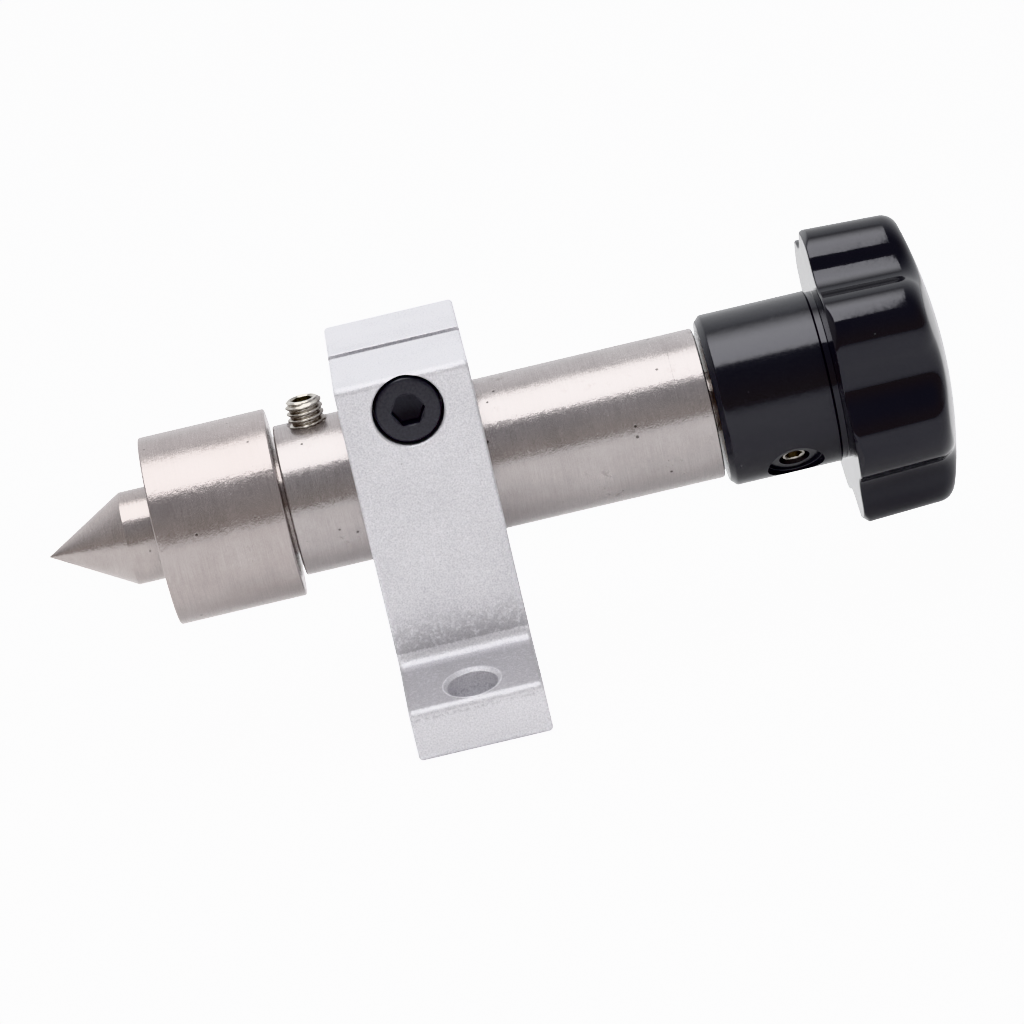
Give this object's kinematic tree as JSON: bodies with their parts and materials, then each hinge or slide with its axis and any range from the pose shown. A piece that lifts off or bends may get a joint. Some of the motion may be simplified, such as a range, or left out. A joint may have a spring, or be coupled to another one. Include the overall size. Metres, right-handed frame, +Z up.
{
  "type": "clamp-mounted live center",
  "caption": "Live center on a ball-bearing head, fed by a lobed handwheel through a split-clamp foot bracket.",
  "frame": {"origin": "middle of the support block's foot, on its underside, halfway between the two bolt holes", "axes": "+X along the spindle from the point to the knob, +Z up from the foot, -Y is the clamp screw's head side"},
  "size_m": [0.1195, 0.06, 0.0489],
  "materials": {
    "cast_aluminium": "sand-blasted and clear anodised",
    "black_oxide_steel": "satin black oxide",
    "turned_steel": "fine turned, with light handling scuffs",
    "ground_steel": "ground and hardened",
    "plated_steel": "bright nickel plated",
    "bearing_steel": "polished",
    "bronze": "machined bronze",
    "cage_brass": "pressed brass",
    "bakelite": "glossy moulded phenolic"
  },
  "bodies": {
    "support": {"support_block": "cast_aluminium"},
    "clamp": {"clamp_screw": "black_oxide_steel"},
    "barrel_unit": {"barrel": "turned_steel", "front_thrust_plate": "bronze", "rear_thrust_plate": "bronze", "rear_bush": "bronze"},
    "lock": {"lock_screw": "plated_steel"},
    "handwheel": {"lead_screw": "ground_steel", "collar": "black_oxide_steel", "collar_set_screw": "plated_steel", "knob": "bakelite", "knob_insert": "cage_brass"},
    "quill_unit": {"quill": "ground_steel", "bearing_head": "turned_steel", "retaining_ring": "black_oxide_steel", "radial_outer_ring": "bearing_steel", "radial_shields": "plated_steel", "thrust_housing_washer": "bearing_steel"},
    "center": {"center_point": "ground_steel", "radial_inner_ring": "bearing_steel", "bearing_spacer": "bearing_steel", "thrust_shaft_washer": "bearing_steel"},
    "radial_cage_unit": {"radial_cage": "cage_brass", "radial_balls": "bearing_steel"},
    "thrust_cage_unit": {"thrust_cage": "cage_brass", "thrust_balls": "bearing_steel"}
  },
  "joints": [
    {"name": "clamp_turn", "type": "hinge", "parent": "support", "child": "clamp", "pos_m": [0, -0.017, 0.04175], "axis": [0, -1, 0], "range_deg": [0, 360]},
    {"name": "barrel_slide", "type": "slide", "parent": "support", "child": "barrel_unit", "axis": [-1, 0, 0], "range_m": [-0.0015, 0.028]},
    {"name": "lock_turn", "type": "hinge", "parent": "barrel_unit", "child": "lock", "pos_m": [-0.0132, 0, 0.042], "axis": [0, 0, 1], "range_deg": [0, 360]},
    {"name": "knob_turn", "type": "hinge", "parent": "barrel_unit", "child": "handwheel", "pos_m": [0.06, 0, 0.029], "axis": [-1, 0, 0], "range_deg": [0, 7200]},
    {"name": "quill_feed", "type": "slide", "parent": "barrel_unit", "child": "quill_unit", "axis": [-1, 0, 0], "range_m": [0, 0.02]},
    {"name": "center_spin", "type": "hinge", "parent": "quill_unit", "child": "center", "pos_m": [-0.0392, 0, 0.029], "axis": [-1, 0, 0], "continuous": true},
    {"name": "radial_cage_spin", "type": "hinge", "parent": "quill_unit", "child": "radial_cage_unit", "pos_m": [-0.03, 0, 0.029], "axis": [-1, 0, 0], "continuous": true},
    {"name": "thrust_cage_spin", "type": "hinge", "parent": "quill_unit", "child": "thrust_cage_unit", "pos_m": [-0.0236, 0, 0.029], "axis": [-1, 0, 0], "continuous": true}
  ],
  "couplings": [
    {"joint": "knob_turn", "follows": "quill_feed", "rad_per_m": 6283.2},
    {"joint": "radial_cage_spin", "follows": "center_spin", "ratio": 0.3677},
    {"joint": "thrust_cage_spin", "follows": "center_spin", "ratio": 0.5}
  ]
}
